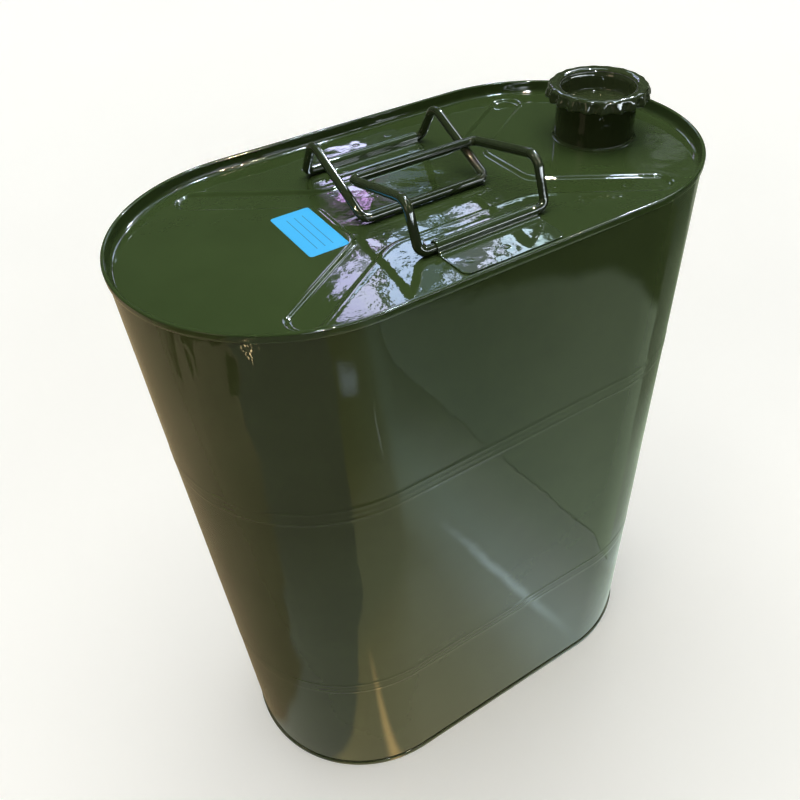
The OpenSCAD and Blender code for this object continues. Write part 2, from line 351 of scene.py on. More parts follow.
def label_paper(name):
    """Sky-blue sticker with blank ruled lines."""
    m, nt, b = new_material(name)
    tc = nt.nodes.new("ShaderNodeTexCoord").outputs["Object"]
    sep = nt.nodes.new("ShaderNodeSeparateXYZ")
    nt.links.new(tc, sep.inputs[0])
    fibre = noise_tex(nt, tc, 1500.0, 3.0, 0.6)
    col = ramp(nt, fibre, [(0.3, (0.050, 0.46, 0.95)), (0.7, (0.062, 0.52, 0.99))])
    cx, cy = (LAB[0].x + LAB[1].x) / 2, (LAB[0].y + LAB[1].y) / 2
    lx, ly = LAB[1].x - LAB[0].x, LAB[1].y - LAB[0].y
    # ruled lines run along Y, across the sticker's short side they are evenly spaced
    fx = math_node(nt, "DIVIDE", math_node(nt, "SUBTRACT", sep.outputs["X"], cx - lx / 2), lx)
    fy = math_node(nt, "DIVIDE", math_node(nt, "SUBTRACT", sep.outputs["Y"], cy - ly / 2), ly)
    saw = math_node(nt, "FRACT", math_node(nt, "MULTIPLY", fx, 5.0))
    line = math_node(nt, "LESS_THAN", math_node(nt, "ABSOLUTE", math_node(nt, "SUBTRACT", saw, 0.5)), 0.05)
    inx = math_node(nt, "MULTIPLY", math_node(nt, "GREATER_THAN", fx, 0.2), math_node(nt, "LESS_THAN", fx, 0.8))
    iny = math_node(nt, "MULTIPLY", math_node(nt, "GREATER_THAN", fy, 0.12), math_node(nt, "LESS_THAN", fy, 0.86))
    ink = math_node(nt, "MULTIPLY", math_node(nt, "MULTIPLY", line, inx), iny)
    col = mix_color(nt, math_node(nt, "MULTIPLY", ink, 0.75), col, (0.02, 0.10, 0.30))
    nt.links.new(col, b.inputs["Base Color"])
    b.inputs["Roughness"].default_value = 0.45
    b.inputs["Specular IOR Level"].default_value = 0.12
    b.inputs["Coat Weight"].default_value = 0.12
    b.inputs["Coat Roughness"].default_value = 0.12
    bp = nt.nodes.new("ShaderNodeBump")
    bp.inputs["Distance"].default_value = 0.00004
    nt.links.new(noise_tex(nt, tc, 60.0, 2.0), bp.inputs["Height"])
    nt.links.new(bp.outputs["Normal"], b.inputs["Normal"])
    return m


WALL = enamel("wall_enamel_paint", light=(0.048, 0.068, 0.027), dark=(0.039, 0.056, 0.021), peel=0.3, swell=0.4, mottle=0.15)
END = enamel("end_enamel_paint", light=(0.043, 0.071, 0.023), dark=(0.035, 0.058, 0.018), swell=1.0, mottle=0.6)
FIT = enamel("fitting_enamel_paint", light=(0.038, 0.053, 0.022), dark=(0.028, 0.041, 0.016), peel=0.7, swell=0.8, specks=0.7, mottle=1.0, coat_ior=1.68)
NECK_PAINT = enamel("neck_enamel_paint", light=(0.036, 0.048, 0.020), dark=(0.027, 0.038, 0.015), peel=0.7, swell=0.8, specks=0.7, mottle=1.0, coat_ior=1.42)
WELD_PAINT = enamel("weld_enamel_paint", light=(0.043, 0.066, 0.026), dark=(0.033, 0.050, 0.019), peel=0.7, swell=0.8, specks=0.9, mottle=1.0, coat_ior=1.28)
CLIP = enamel("clip_enamel_paint", light=(0.044, 0.071, 0.030), dark=(0.036, 0.058, 0.024), peel=0.6, swell=0.9, mottle=0.7, coat_ior=1.6)
WIRE = enamel("handle_enamel_paint", light=(0.033, 0.047, 0.021), dark=(0.023, 0.034, 0.014), peel=0.6, swell=0.3, mottle=0.4, coat_ior=1.68)
COMPOUND = rubber("seam_compound_paste", (0.30, 0.26, 0.18))
GASKET = rubber("gasket_rubber_black", (0.012, 0.012, 0.012))
PAPER = label_paper("label_paper_blue")


def piece(ob, body, slot, mat, *nodes):
    ob.data.materials.clear()
    ob.data.materials.append(mat)
    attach(ob, body)
    if nodes:
        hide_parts(*nodes)
    return ob


# ------------------------------------------------------------------ top end: seam, countersink, panel with the pressed pattern
def capsule(x, y, ax, ay, bx, by, r):
    dx, dy = bx - ax, by - ay
    t = np.clip(((x - ax) * dx + (y - ay) * dy) / (dx * dx + dy * dy), 0, 1)
    return np.hypot(x - ax - t * dx, y - ay - t * dy) - r


def smooth_min(a, b, k):
    h = np.clip(0.5 + 0.5 * (b - a) / k, 0, 1)
    return b * (1 - h) + a * h - k * h * (1 - h)


def pattern_distance(x, y):
    """Distance to the outline of the four-armed pattern, negative inside. Metres."""
    ax, ay = np.abs(x), np.abs(y)
    qx, qy = ax - (60 - 4) * MM, ay - (37.5 - 4) * MM
    d = np.hypot(np.maximum(qx, 0), np.maximum(qy, 0)) + np.minimum(np.maximum(qx, qy), 0) - 4 * MM
    arm = capsule(ax, ay, 30 * MM, 13.5 * MM, 116.5 * MM, 73 * MM, 9.5 * MM)
    return smooth_min(d, arm, 5 * MM)


PRESS = 1.4 * MM


def panel_height(x, y):
    d = pattern_distance(x, y)
    h = -PRESS * ease((0.75 * MM - d) / (2.3 * MM))
    # a faint raised lip just outside the flank; the floor's slack is added in build_end
    h += 0.10 * MM * np.exp(-((d - 2.2 * MM) / (1.6 * MM)) ** 2)
    return h


def build_end(name, top=True):
    n_arc, n_flat = (230, 270) if top else (130, 110)
    base, out = oval_samples(n_arc, n_flat)
    N = len(base)
    sgn = 1 if top else -1
    rim = RIM_Z if top else 0.0
    seam_h = 4.5 * MM
    rec = (RIM_Z - ZP)
    r = 0.95 * MM
    # profile from inside the skirt, round the skirt's foot, over the top and down the countersink wall
    prof = [(-T, -seam_h + 0.1 * MM), (-T * 0.8, -seam_h - 0.02 * MM), (-T * 0.3, -seam_h), (0.0, -seam_h + 0.35 * MM),
            (0.02 * MM, -seam_h * 0.62), (0.0, -seam_h * 0.40)]
    prof = [(u * 1.0, z) for u, z in prof]
    prof += [(u, z) for u, z in arc(-r, -r, r, 0, 90, 7)]
    inner = -2.4 * MM
    prof += [(u, z) for u, z in arc(inner + r, -r, r, 90, 180, 7)]
    fil = 2.6 * MM
    prof += [(inner, -2.6 * MM), (inner - 0.05 * MM, -rec + fil + 0.6 * MM)]
    prof += [(u, z) for u, z in arc(inner - 0.1 * MM - fil, -rec + fil, fil, 0, -90, 7)]
    u_edge = prof[-1][0]
    # rings of the panel, from its edge to the middle line
    depth = RAD + u_edge
    n_in = 150 if top else 60
    us = [u_edge - depth * (k / n_in) for k in range(1, n_in)]
    U = np.array([p[0] for p in prof] + us)
    Z = np.array([p[1] for p in prof] + [-rec] * len(us))
    M = len(U)
    X = (base[None, :, 0] + out[None, :, 0] * (RAD + U[:, None]))
    Y = (base[None, :, 1] + out[None, :, 1] * (RAD + U[:, None]))
    ZZ = np.repeat(Z[:, None], N, 1)
    # the seam is hand-made: it wavers a little
    per = np.arange(N) / N * 2 * math.pi
    wav = 0.05 * MM * (np.sin(9 * per + 0.4) + 0.7 * np.sin(23 * per + 1.9) + 0.6 * np.sin(41 * per))
    keep = np.clip((-Z - 0.3 * MM) / (1.5 * MM), 0, 1) * (U > -1.2 * MM)
    X = X - (keep[:, None] * (np.abs(wav)[None, :])) * out[None, :, 0]
    Y = Y - (keep[:, None] * (np.abs(wav)[None, :])) * out[None, :, 1]
    pan = np.arange(M) >= len(prof) - 1
    xf, yf = X[pan].ravel(), Y[pan].ravel()
    edge = np.clip((u_edge - np.repeat(U[pan], N)) / (14 * MM), 0, 1)
    if top:
        dn = np.hypot(xf - NX, yf)
        h = panel_height(xf, yf)
        slack = 0.16 * MM * wobble(xf, yf, xf * 0, 0.060, 1) + 0.07 * MM * wobble(xf, yf, xf * 0, 0.026, 2)
        clipped = ease((np.minimum(np.hypot(np.maximum(np.abs(xf) - 36 * MM, 0), np.maximum(np.abs(np.abs(yf) - 68 * MM) - 22 * MM, 0)), 9 * MM)) / (9 * MM))
        flatten = ease((dn - 28 * MM) / (12 * MM)) * clipped
        lab = ease((np.hypot(np.maximum(np.abs(xf - (LAB[0].x + LAB[1].x) / 2) - 13 * MM, 0), np.maximum(np.abs(yf) - 26 * MM, 0))) / (6 * MM))
        h = h * 1.0 + slack * edge * flatten * lab - 0.10 * MM * (1 - ease((dn - 27 * MM) / (8 * MM))) * 0
    else:
        h = -0.2 * MM * wobble(xf, yf, xf * 0, 0.07, 5) * edge
    ZZ[pan] = ZZ[pan] + h.reshape(-1, N) * ease(edge * 2).reshape(-1, N)
    verts_top = np.stack([X.ravel(), Y.ravel(), sgn * ZZ.ravel() + rim], 1)
    faces = grid_faces(M, N, flip=False)
    # inmost ring folds onto the middle line
    mid0 = len(verts_top)
    last = (M - 1) * N
    mx = base[:, 0]
    keyed, mids = {}, []
    for j in range(N):
        k = round(float(mx[j]) * 1e6)
        if k not in keyed:
            x = float(mx[j])
            hz = -rec
            if top:
                hz += float(panel_height(np.array([x]), np.array([0.0]))[0])
            keyed[k] = mid0 + len(mids)
            mids.append((x, 0.0, sgn * hz + rim))
        pass
    idx = [keyed[round(float(mx[j]) * 1e6)] for j in range(N)]
    for j in range(N):
        j2 = (j + 1) % N
        if idx[j] == idx[j2]:
            faces.append((last + j, last + j2, idx[j]))
        else:
            faces.append((last + j, last + j2, idx[j2], idx[j]))
    verts = np.vstack([verts_top, np.array(mids)])
    if not top:
        faces = [tuple(reversed(f)) for f in faces]
    if top:
        # hole for the neck: points near its edge are drawn onto it
        dx, dy = verts[:, 0] - NX, verts[:, 1]
        rr = np.hypot(dx, dy)
        onpan = (np.abs(verts[:, 2] - ZP) < 3 * MM)
        for lo, hi, to in ((-1.75, -0.55, -0.85), (-0.55, 0.75, 0.15)):
            pull = onpan & (rr > NECK_R + lo * MM) & (rr <= NECK_R + hi * MM)
            verts[pull, 0] = NX + dx[pull] / rr[pull] * (NECK_R + to * MM)
            verts[pull, 1] = dy[pull] / rr[pull] * (NECK_R + to * MM)
        inside = onpan & (rr <= NECK_R - 1.75 * MM)
        faces = [f for f in faces if not any(inside[i] for i in f)]
    # drop loose points
    used = np.zeros(len(verts), bool)
    for f in faces:
        for i in f:
            used[i] = True
    remap = np.cumsum(used) - 1
    verts = verts[used]
    faces = [tuple(int(remap[i]) for i in f) for f in faces]
    ob = make_object(name, verts, faces)
    sol = ob.modifiers.new("sheet", "SOLIDIFY")
    sol.thickness = T * 0.96
    sol.offset = -1.0
    sol.use_even_offset = False
    return ob


top_end = build_end("top_end", True)
piece(top_end, "can", "end_enamel", END, "top_panel")
bottom_end = build_end("bottom_end", False)
piece(bottom_end, "can", "end_enamel", END, "bottom_panel")


# ------------------------------------------------------------------ wall
def build_wall():
    n_arc, n_flat = 130, 70
    base, out = oval_samples(n_arc, n_flat)
    N = len(base)
    z0, z1 = 1.0 * MM, RIM_Z - 1.0 * MM
    zs = [z0]
    while zs[-1] < z1:
        z = zs[-1]
        near = min(abs(z - 131 * MM), abs(z - 327 * MM))
        zs.append(z + (0.55 * MM if near < 11 * MM else 3.2 * MM))
    zs[-1] = z1
    zs = np.array(zs)

    def bead(z):
        out_ = np.zeros_like(z)
        for zc in (131 * MM, 327 * MM):
            d = np.abs(z - zc)
            out_ += 0.12 * MM * ease((8.0 * MM - d) / (4.4 * MM))
            out_ += 0.10 * MM * np.exp(-((d - 4.6 * MM) / (1.0 * MM)) ** 2) + 0.05 * MM * np.exp(-(d / (1.2 * MM)) ** 2)
        return out_

    M = len(zs)
    u = WALL_U + bead(zs)
    X = base[None, :, 0] + out[None, :, 0] * (RAD + u[:, None])
    Y = base[None, :, 1] + out[None, :, 1] * (RAD + u[:, None])
    Z = np.repeat(zs[:, None], N, 1)
    xf, yf, zf = X.ravel(), Y.ravel(), Z.ravel()
    fade = ease((zf - 6 * MM) / (20 * MM)) * ease((RIM_Z - 6 * MM - zf) / (20 * MM))
    w = 0.34 * MM * wobble(xf, yf, zf * 0.55, 0.11, 3) + 0.10 * MM * wobble(xf, yf, zf, 0.045, 4)
    w = w * fade - 0.02 * MM
    ox, oy = np.tile(out[:, 0], M), np.tile(out[:, 1], M)
    # the wall's own lap seam, a soldered ridge up the middle of the far side
    lap = np.exp(-((xf - 2 * MM) / (3.2 * MM)) ** 4) * (yf > 0.05) * ease((zf - 7 * MM) / (4 * MM)) * ease((RIM_Z - 7 * MM - zf) / (4 * MM))
    w = w + 0.55 * MM * lap
    verts = np.stack([xf + ox * w, yf + oy * w, zf], 1)
    ob = make_object("wall", verts, grid_faces(M, N))
    sol = ob.modifiers.new("sheet", "SOLIDIFY")
    sol.thickness = T * 0.9
    sol.offset = -1.0
    return ob


piece(build_wall(), "can", "wall_enamel", WALL, "body_shell")


# ------------------------------------------------------------------ filler neck and its weld
def build_neck():
    ro, ri = NECK_R, NECK_BORE
    h = NECK_TOP - ZP
    prof = [(ri, -1.6 * MM), (ro - 0.2 * MM, -1.6 * MM), (ro, -1.3 * MM)]
    prof += [(ro, z * MM) for z in np.linspace(0, h / MM - 1.0, 26)]
    prof += [(ro - 0.08 * MM, h - 0.5 * MM), (ro - 0.3 * MM, h - 0.12 * MM), (ro - 0.65 * MM, h),
             (ri + 0.3 * MM, h - 0.03 * MM), (ri + 0.06 * MM, h - 0.2 * MM), (ri, h - 0.6 * MM)]
    prof += [(ri, z * MM) for z in np.linspace(h / MM - 1.0, -1.0, 90)]

    def shape(R, Z, A):
        # rolled inside thread, and a run of paint down the outside
        inside = R < ri + 0.05 * MM
        th = np.maximum(0, np.cos(2 * math.pi * (Z / (3 * MM)) - A)) ** 2
        R = R + np.where(inside & (Z > 12 * MM) & (Z < h - 1.5 * MM), 0.32 * MM * th, 0)
        out = R > ro - 0.05 * MM
        a0 = math.radians(238)
        for da, wd, z_lo, z_hi, amp in ((0.0, 0.034, 11, 27, 0.12), (-0.45, 0.03, 8, 20, 0.06), (0.28, 0.03, 5, 12, 0.06)):
            g = np.exp(-((A - a0 - da) / wd) ** 2) * ease((Z / MM - z_lo) / 3) * ease((z_hi + 6 - Z / MM) / 6)
            R = R + np.where(out, amp * MM * g, 0)
        return R, Z

    ob, *_ = lathe("neck_tube", prof, 144, NX, 0, ZP, shape)
    return ob


piece(build_neck(), "can", "fitting_enamel", NECK_PAINT, "filler_neck")


def build_weld():
    ro = NECK_R - 0.1 * MM
    leg = 1.7 * MM
    prof = [(ro, -0.25 * MM), (ro + leg * 1.12, -0.25 * MM)]
    for k in range(9):
        t = k / 8
        a = math.pi / 2 * t
        prof.append((ro + leg * (1.05 - 0.82 * math.sin(a)), 0.04 * MM + leg * (1.0 - 0.86 * math.cos(a)) - 0.25 * MM))
    prof.append((ro, leg * 0.86))

    def shape(R, Z, A):
        f = (R - ro) / leg
        lump = wobble(np.cos(A) * 0.2, np.sin(A) * 0.2, Z, 0.025, 8)
        ripple = 0.035 * MM * np.sin(A * 62 + 1.2 * np.sin(A * 5))
        g = np.clip(f * 3, 0, 1) * np.clip((Z + 0.2 * MM) / (0.6 * MM), 0, 1)
        return R + (0.20 * MM * lump + ripple) * g, Z + (0.10 * MM * lump + ripple * 0.5) * g

    ob, *_ = lathe("neck_weld_bead", prof, 360, NX, 0, ZP, shape)
    return ob


piece(build_weld(), "can", "fitting_enamel", WELD_PAINT, "neck_weld")


# ------------------------------------------------------------------ cap
def build_cap():
    web = 30.5 * MM
    prof = []

    def add(*pts):
        prof.extend([(r * MM, z * MM) for r, z in pts])

    # cup floor, wall and rolled lip
    add((0.02, 18.36), (6, 18.38), (12, 18.4), (17, 18.45), (20.2, 18.6), (21.3, 18.95), (22.0, 19.6), (22.35, 20.5), (22.5, 21.6))
    add(*[(22.5 + 0.05 * k, 21.6 + 1.05 * k) for k in range(1, 6)])
    add((22.85, 27.6), (23.05, 28.5), (23.4, 29.4), (23.9, 30.25), (24.55, 31.0), (25.3, 31.55), (26.2, 31.9), (27.2, 32.1), (28.2, 32.2), (29.0, 32.2))
    add((29.7, 32.1), (30.25, 31.85), (30.7, 31.45), (31.0, 30.95), (31.2, 30.35), (31.35, 29.6), (31.45, 28.8), (31.6, 28.0), (31.75, 27.2),
        (31.9, 26.5), (32.0, 25.8), (31.95, 25.2), (31.7, 24.7), (31.2, 24.35), (30.4, 24.15), (29.2, 24.05), (27.6, 24.0), (26.8, 24.1), (26.5, 24.5))
    add((26.5, 26.0), (26.5, 28.0), (26.5, 30.0), (26.3, 30.5), (25.0, 30.5), (24.0, 30.5), (23.7, 30.2))
    add(*[(23.7, z) for z in np.linspace(29.6, 19.0, 72)])
    add((23.5, 18.2), (22.9, 17.4), (21.6, 17.2), (15, 17.2), (8, 17.2), (0.02, 17.2))
    P = np.array(prof)
    n = 480

    def shape(R, Z, A):
        r, z = R / MM, Z / MM
        flank = ease((r - 29.2) / 2.0) * (z > 23.9)
        k = 20
        lobe = np.cos(k * A)
        lobe = np.sign(lobe) * np.abs(lobe) ** 0.75
        lump = wobble(R * np.cos(A), R * np.sin(A), Z, 0.0036, 11)
        lump2 = wobble(R * np.cos(A), R * np.sin(A), Z, 0.010, 12)
        low = ease((30.8 - z) / 3.0)
        lump3 = wobble(R * np.cos(A), R * np.sin(A), Z, 0.0019, 13)
        r2 = r + flank * (0.90 * lobe * (0.35 + 0.65 * low) + 0.42 * lump + 0.30 * lump2 + 0.20 * lump3)
        # lower edge is uneven
        z2 = z + flank * (z < 26) * (-0.35 * lobe * 0.6 + 0.30 * lump2)
        # top annulus is a little uneven too
        ann = ease((r - 24.5) / 1.5) * ease((31.5 - r) / 1.0) * (z > 31)
        z2 = z2 + ann * (0.09 * lump2 + 0.03 * lump) - ann * ease((r - 28) / 2.5) * 0.10 * (1 - lobe)
        cupw = (r > 22) & (r < 23.3) & (z > 19) & (z < 30.3)
        r2 = r2 + np.where(cupw, 0.05 * lump2, 0)
        # rolled thread on the outside of the cup
        thr = (r > 23.6) & (r < 23.75) & (z < 29.7) & (z > 18.5)
        th = np.maximum(0, np.cos(2 * math.pi * (z / 3.0) - A)) ** 2
        r2 = r2 + np.where(thr, 0.26 * th * ease((z - 18.6) / 1.2) * ease((29.6 - z) / 0.6), 0)
        return r2 * MM, z2 * MM

    ob, *_ = lathe("screw_cap_shell", P, n, NX, 0, ZP, shape, close=False)
    # close both centres
    me = ob.data
    m = len(P)
    c0, c1 = len(me.vertices), len(me.vertices) + 1
    verts = [v.co[:] for v in me.vertices] + [(NX, 0, ZP + 18.36 * MM), (NX, 0, ZP + 17.2 * MM)]
    faces = [tuple(p.vertices) for p in me.polygons]
    faces += [((k + 1) % n, k, c0) for k in range(n)]
    o = (m - 1) * n
    faces += [(o + k, o + (k + 1) % n, c1) for k in range(n)]
    faces = [tuple(reversed(f)) for f in faces]
    bpy.data.objects.remove(ob)
    bpy.data.meshes.remove(me)
    return make_object("screw_cap_shell", verts, faces)


piece(build_cap(), "screw_cap", "fitting_enamel", FIT, "cap")


# ------------------------------------------------------------------ handles
def handle_path(rest, slide, turned):
    a = math.radians(rest)
    b = math.radians(rest - (180 - 98.3))
    A = np.array([-60.4, 3.05])
    B = A + 28.1 * np.array([math.cos(a), math.sin(a)])
    C = B + 60.6 * np.array([math.cos(b), math.sin(b)])
    x = 42.4
    pts = [(0.3, A), (x, A), (x, B), (x, C), (-x, C), (-x, B), (-x, A), (-0.3, A)]
    pts = [(px + slide, q[0], q[1]) for px, q in pts]
    if turned:
        pts = [(-px, -py, pz) for px, py, pz in pts]
    pts = [(px * MM, py * MM, ZP + pz * MM) for px, py, pz in pts]
    return rounded(pts, [5 * MM, 8.5 * MM, 5 * MM, 5 * MM, 8.5 * MM, 5 * MM])


near = sweep("wire_handle_near", handle_path(69.7, -0.8, False), 2.72 * MM, 28)
piece(near, "near_bail", "handle_enamel", WIRE, "handle_near")
far = sweep("wire_handle_far", handle_path(57.5, 5.0, True), 2.72 * MM, 28)
piece(far, "far_bail", "handle_enamel", WIRE, "handle_far")


# ------------------------------------------------------------------ hinge clips and their welds
def build_clip(name, side, shift):
    """side -1: near clip. Sheet saddle; its outline in (distance from the middle plane, height)."""
    ar = 3.07
    t = 0.8
    o = ar + t
    yc, zc = 60.4, 3.05
    line = [(89.0, t), (86.0, t), (80.0, t), (74.0, t), (yc + o + 4.2, t), (yc + o + 2.4, t + 0.02), (yc + o + 1.2, t + 0.25), (yc + o + 0.45, t + 0.9), (yc + o + 0.06, 2.1)]
    line += [(yc + o * math.cos(a), zc + o * math.sin(a)) for a in np.radians(np.linspace(0, 180, 25))]
    line += [(yc - o - 0.06, 2.1), (yc - o - 0.45, t + 0.9), (yc - o - 1.2, t + 0.25), (yc - o - 2.2, t + 0.02), (yc - o - 3.6, t), (51.5, t), (49.0, t), (46.5, t)]
    L = np.array(line)
    w = 33.5
    r = 5.0
    xs = np.linspace(-1, 1, 57)
    rows = []
    fine = []
    for i in range(len(L) - 1):
        seg = 4 if L[i][0] > 70 else 1
        for k in range(seg):
            fine.append(L[i] + (L[i + 1] - L[i]) * k / seg)
    # extra rows where the outer corners are rounded
    extra = [np.array([89.0 - d, t]) for d in (0.15, 0.5, 1.0, 1.7, 2.5, 3.4, 4.2, 5.0)]
    fine = sorted([f for f in fine if f[0] > 84 - 1e-9 and f[0] < 1e9 and f[0] >= 88.99] + extra, key=lambda q: -q[0]) + [f for f in fine if f[0] < 83.9]
    fine.append(L[-1])
    verts = []
    for q in fine:
        d = 89.0 - q[0]
        half = w - (r - math.sqrt(max(0.0, r * r - (r - d) ** 2)) if d < r else 0)
        d2 = q[0] - 46.5
        if d2 < 2.0:
            half -= 2.0 - math.sqrt(max(0.0, 4.0 - (2.0 - d2) ** 2))
        for s in xs:
            x = s * half
            z = q[1]
            foot = q[0] > 68 or q[0] < 53
            if foot:
                z = z + 0.12 * noise.noise((x / 14 + side * 3.1, q[0] / 11, 4.4)) * min(1, max(0, (q[0] - 67) / 5 if q[0] > 60 else 1)) * (1 if q[0] > 60 else 0.4)
                z = max(z, t - 0.02)
            verts.append(((x + shift) * MM, side * q[0] * MM, ZP + z * MM))
    faces = grid_faces(len(fine), len(xs), close_cols=False)
    if side < 0:
        faces = [tuple(reversed(f)) for f in faces]
    ob = make_object(name, verts, faces)
    me = ob.data
    me.update()
    up = sum(p.normal.z * p.area for p in me.polygons)
    if up < 0:
        me.flip_normals()
    sol = ob.modifiers.new("sheet", "SOLIDIFY")
    sol.thickness = 0.78 * MM
    sol.offset = -1.0
    sol.use_even_offset = True
    bev = ob.modifiers.new("edge", "BEVEL")
    bev.width = 0.22 * MM
    bev.segments = 3
    bev.limit_method = "ANGLE"
    bev.angle_limit = math.radians(50)
    return ob


piece(build_clip("hinge_clip_near", -1, 0.0), "can", "fitting_enamel", CLIP, "clip_near")
piece(build_clip("hinge_clip_far", 1, -1.5), "can", "fitting_enamel", CLIP, "clip_far")


def build_welds(name, side, shift):
    verts, faces = [], []
    spots = [(x, side * 79.0) for x in (-24, 0, 24)] + [(x, side * 51.1) for x in (-24, 24)]
    for si, (x, y) in enumerate(spots):
        n = 40
        o = len(verts)
        rows = []
        prof = [(2.62, 0.55), (2.60, 0.79), (2.40, 0.84), (2.0, 0.875), (1.4, 0.905), (0.8, 0.92), (0.35, 0.925)]
        for r, z in prof:
            for k in range(n):
                a = 2 * math.pi * k / n
                g = noise.noise((x * 0.7 + math.cos(a) * 1.2, y * 0.3 + math.sin(a) * 1.2, z * 2 + si))
                rr = r * (1 + 0.05 * g)
                zz = z + (0.02 * g if z > 0.6 else 0)
                verts.append(((x + shift + rr * math.cos(a)) * MM, (y + rr * math.sin(a)) * MM, ZP + zz * MM))
        faces += grid_faces(len(prof), n, start=o)
        c = len(verts)
        verts.append(((x + shift) * MM, y * MM, ZP + 0.926 * MM))
        last = o + (len(prof) - 1) * n
        faces += [(last + k, last + (k + 1) % n, c) for k in range(n)]
        c = len(verts)
        verts.append(((x + shift) * MM, y * MM, ZP + 0.5 * MM))
        faces += [(o + (k + 1) % n, o + k, c) for k in range(n)]
    ob = make_object(name, verts, faces)
    return ob


piece(build_welds("plug_welds_near", -1, 0.0), "can", "fitting_enamel", CLIP, "clip_near_welds")
piece(build_welds("plug_welds_far", 1, -1.5), "can", "fitting_enamel", CLIP, "clip_far_welds")


# ------------------------------------------------------------------ label
def build_label():
    cx, cy = (LAB[0].x + LAB[1].x) / 2, (LAB[0].y + LAB[1].y) / 2
    hx, hy = (LAB[1].x - LAB[0].x) / 2, (LAB[1].y - LAB[0].y) / 2
    r = 2.0 * MM
    nx, ny = 40, 80
    verts = []
    for j in range(ny + 1):
        ty = -1 + 2 * j / ny
        y = ty * hy
        d = hy - abs(y)
        half = hx - (r - math.sqrt(max(0.0, r * r - (r - d) ** 2)) if d < r else 0)
        for i in range(nx + 1):
            x = (-1 + 2 * i / nx) * half
            z = 0.16 * MM
            z += 0.05 * MM * max(0.0, noise.noise((x / 0.012, y / 0.012, 2.2)))
            # one corner has begun to lift
            lift = max(0.0, 1 - math.hypot(x - hx, y + hy) / (7 * MM))
            z += 0.35 * MM * lift * lift
            verts.append((cx + x, cy + y, ZP + z))
    ob = make_object("sticker", verts, grid_faces(ny + 1, nx + 1, close_cols=False))
    up = sum(p.normal.z for p in ob.data.polygons)
    if up < 0:
        ob.data.flip_normals()
    sol = ob.modifiers.new("paper", "SOLIDIFY")
    sol.thickness = 0.12 * MM
    sol.offset = -1.0
    return ob


piece(build_label(), "can", "label_paper", PAPER, "label")

for n in ("top_seam_compound", "bottom_seam_compound"):
    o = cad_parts[n]
    o.data.materials.clear()
    o.data.materials.append(COMPOUND)
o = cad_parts["cap_gasket"]
o.data.materials.clear()
o.data.materials.append(GASKET)

# ------------------------------------------------------------------ floor, light, camera
me = bpy.data.meshes.new("floor")
s = 20.0
me.from_pydata([(-s, -s, 0), (s, -s, 0), (s, s, 0), (-s, s, 0)], [], [(0, 1, 2, 3)])
floor = bpy.data.objects.new("studio_floor", me)
bpy.context.scene.collection.objects.link(floor)
fm, nt, b = new_material("studio_floor_pale")
co = nt.nodes.new("ShaderNodeTexCoord").outputs["Object"]
nt.links.new(ramp(nt, noise_tex(nt, co, 3.0, 3.0), [(0.3, (0.91, 0.91, 0.90)), (0.7, (0.94, 0.94, 0.93))]), b.inputs["Base Color"])
b.inputs["Roughness"].default_value = 0.9
b.inputs["Specular IOR Level"].default_value = 0.1
me.materials.append(fm)

world = bpy.data.worlds.new("studio")
bpy.context.scene.world = world
world.use_nodes = True
bg = world.node_tree.nodes["Background"]
bg.inputs["Color"].default_value = (0.85, 1.0, 0.80, 1)
bg.inputs["Strength"].default_value = 0.06


def unlit(name, verts, faces, colour, clear):
    """A stage surface that only adds its own pale tone: no light, shadow or reflection comes from it."""
    me = bpy.data.meshes.new(name)
    me.from_pydata(verts, [], faces)
    ob = bpy.data.objects.new(name, me)
    bpy.context.scene.collection.objects.link(ob)
    mat = bpy.data.materials.new(name)
    mat.use_nodes = True
    nt = mat.node_tree
    nt.nodes.remove(nt.nodes["Principled BSDF"])
    em = nt.nodes.new("ShaderNodeEmission")
    out = em.outputs[0]
    if clear:
        add = nt.nodes.new("ShaderNodeAddShader")
        nt.links.new(out, add.inputs[0])
        nt.links.new(nt.nodes.new("ShaderNodeBsdfTransparent").outputs[0], add.inputs[1])
        out = add.outputs[0]
    nt.links.new(out, nt.nodes["Material Output"].inputs["Surface"])
    col = colour(nt)
    if isinstance(col, tuple):
        em.inputs["Color"].default_value = col
    else:
        nt.links.new(col, em.inputs["Color"])
    me.materials.append(mat)
    ob.visible_diffuse = ob.visible_glossy = ob.visible_shadow = False
    ob.visible_transmission = ob.visible_volume_scatter = False
    return ob


def far_floor(nt):
    """Makes up for the light's fall-off, so that the floor stays pale to the horizon."""
    xy = nt.nodes.new("ShaderNodeSeparateXYZ")
    nt.links.new(nt.nodes.new("ShaderNodeTexCoord").outputs["Object"], xy.inputs[0])
    x = math_node(nt, "SUBTRACT", xy.outputs["X"], 0.15)
    y = math_node(nt, "SUBTRACT", xy.outputs["Y"], 0.30)
    r2_ = math_node(nt, "ADD", math_node(nt, "MULTIPLY", x, x), math_node(nt, "MULTIPLY", y, y))
    lit = math_node(nt, "POWER", math_node(nt, "MULTIPLY_ADD", r2_, 1 / (2.75 * 2.75), 1.0), -2.0)
    return mix_color(nt, lit, (0.92, 0.92, 0.905), (0.12, 0.12, 0.12))


g = 0.0002
unlit("floor_far_tone", [(-s, -s, g), (s, -s, g), (s, s, g), (-s, s, g)], [(0, 1, 2, 3)], far_floor, True)
ring = [(30 * math.cos(2 * math.pi * k / 96), 30 * math.sin(2 * math.pi * k / 96)) for k in range(96)]
shell = [(x, y, -2.0) for x, y in ring] + [(x, y, 30.0) for x, y in ring]
unlit("backdrop", shell, [(k, (k + 1) % 96, 96 + (k + 1) % 96, 96 + k) for k in range(96)] + [tuple(range(96, 192))], lambda nt: (0.92, 0.92, 0.905, 1), False)
bpy.context.scene.view_settings.view_transform = "Standard"


